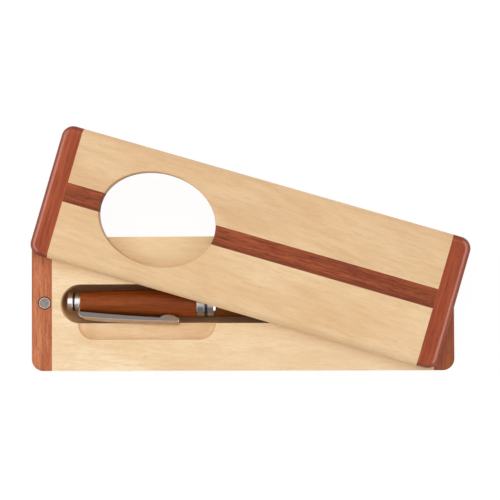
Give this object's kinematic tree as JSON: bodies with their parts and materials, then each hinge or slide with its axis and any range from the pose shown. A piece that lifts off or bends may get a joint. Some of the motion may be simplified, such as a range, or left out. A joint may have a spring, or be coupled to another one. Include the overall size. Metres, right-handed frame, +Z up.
{
  "type": "wooden pen box",
  "caption": "Two-tone wooden pen box with a swivelling lid, an oval window, a finger notch and a twist pen with a clip in its groove.",
  "frame": {"origin": "middle of the base's flat underside", "axes": "+X along the box from the magnet's end to the pivot's end, +Y to the back, +Z up"},
  "size_m": [0.1846, 0.1033, 0.0252],
  "materials": {
    "maple": "satin, long straight grain",
    "rosewood": "glossy lacquer, dark streaks",
    "pen_wood": "glossy lacquer, dark streaks",
    "chrome": "polished plating",
    "black_enamel": "gloss",
    "magnet_nickel": "dull nickel plating",
    "pin_steel": "ground",
    "brass": "plain turned",
    "refill_plastic": "plain"
  },
  "bodies": {
    "base": {"base_core": "maple", "base_end_left": "rosewood", "base_end_right": "rosewood", "base_magnet": "magnet_nickel", "pivot_pin": "pin_steel"},
    "lid": {"lid_panel_back": "maple", "lid_panel_front": "maple", "lid_stripe_left": "rosewood", "lid_stripe_right": "rosewood", "lid_end_left": "rosewood", "lid_end_right": "rosewood", "lid_magnet": "magnet_nickel"},
    "pen": {"pen_finial": "chrome", "pen_finial_ring": "black_enamel", "pen_clip_collar": "chrome", "pen_clip": "chrome", "pen_barrel_upper": "pen_wood", "pen_tube_upper": "brass", "pen_band_upper": "chrome", "pen_band_ring": "black_enamel", "pen_band_lower": "chrome", "mechanism_driver": "brass"},
    "pen_lower": {"pen_barrel_lower": "pen_wood", "pen_tube_lower": "brass", "pen_nib": "chrome", "mechanism_sleeve": "brass"},
    "refill": {"refill_follower": "refill_plastic", "refill_tube": "refill_plastic", "refill_tip": "brass", "refill_ball": "pin_steel"}
  },
  "joints": [
    {"name": "lid_swivel", "type": "hinge", "parent": "base", "child": "lid", "pos_m": [0.08469, 0, 0.0182], "axis": [0, 0, -1], "range_deg": [-16.4, 163.6]},
    {"name": "pen_slide", "type": "slide", "parent": "base", "child": "pen", "axis": [0.9998, -0.0185, 0], "range_m": [0, 0.0107]},
    {"name": "pen_twist", "type": "hinge", "parent": "pen", "child": "pen_lower", "pos_m": [-0.07441, 0.00097, 0.0109], "axis": [0.9998, -0.0185, 0], "range_deg": [0, 180]},
    {"name": "refill_advance", "type": "slide", "parent": "pen_lower", "child": "refill", "axis": [0.9998, -0.0185, 0], "range_m": [0, 0.004]}
  ],
  "couplings": [
    {"joint": "refill_advance", "follows": "pen_twist", "m_per_rad": 0.0012732}
  ]
}
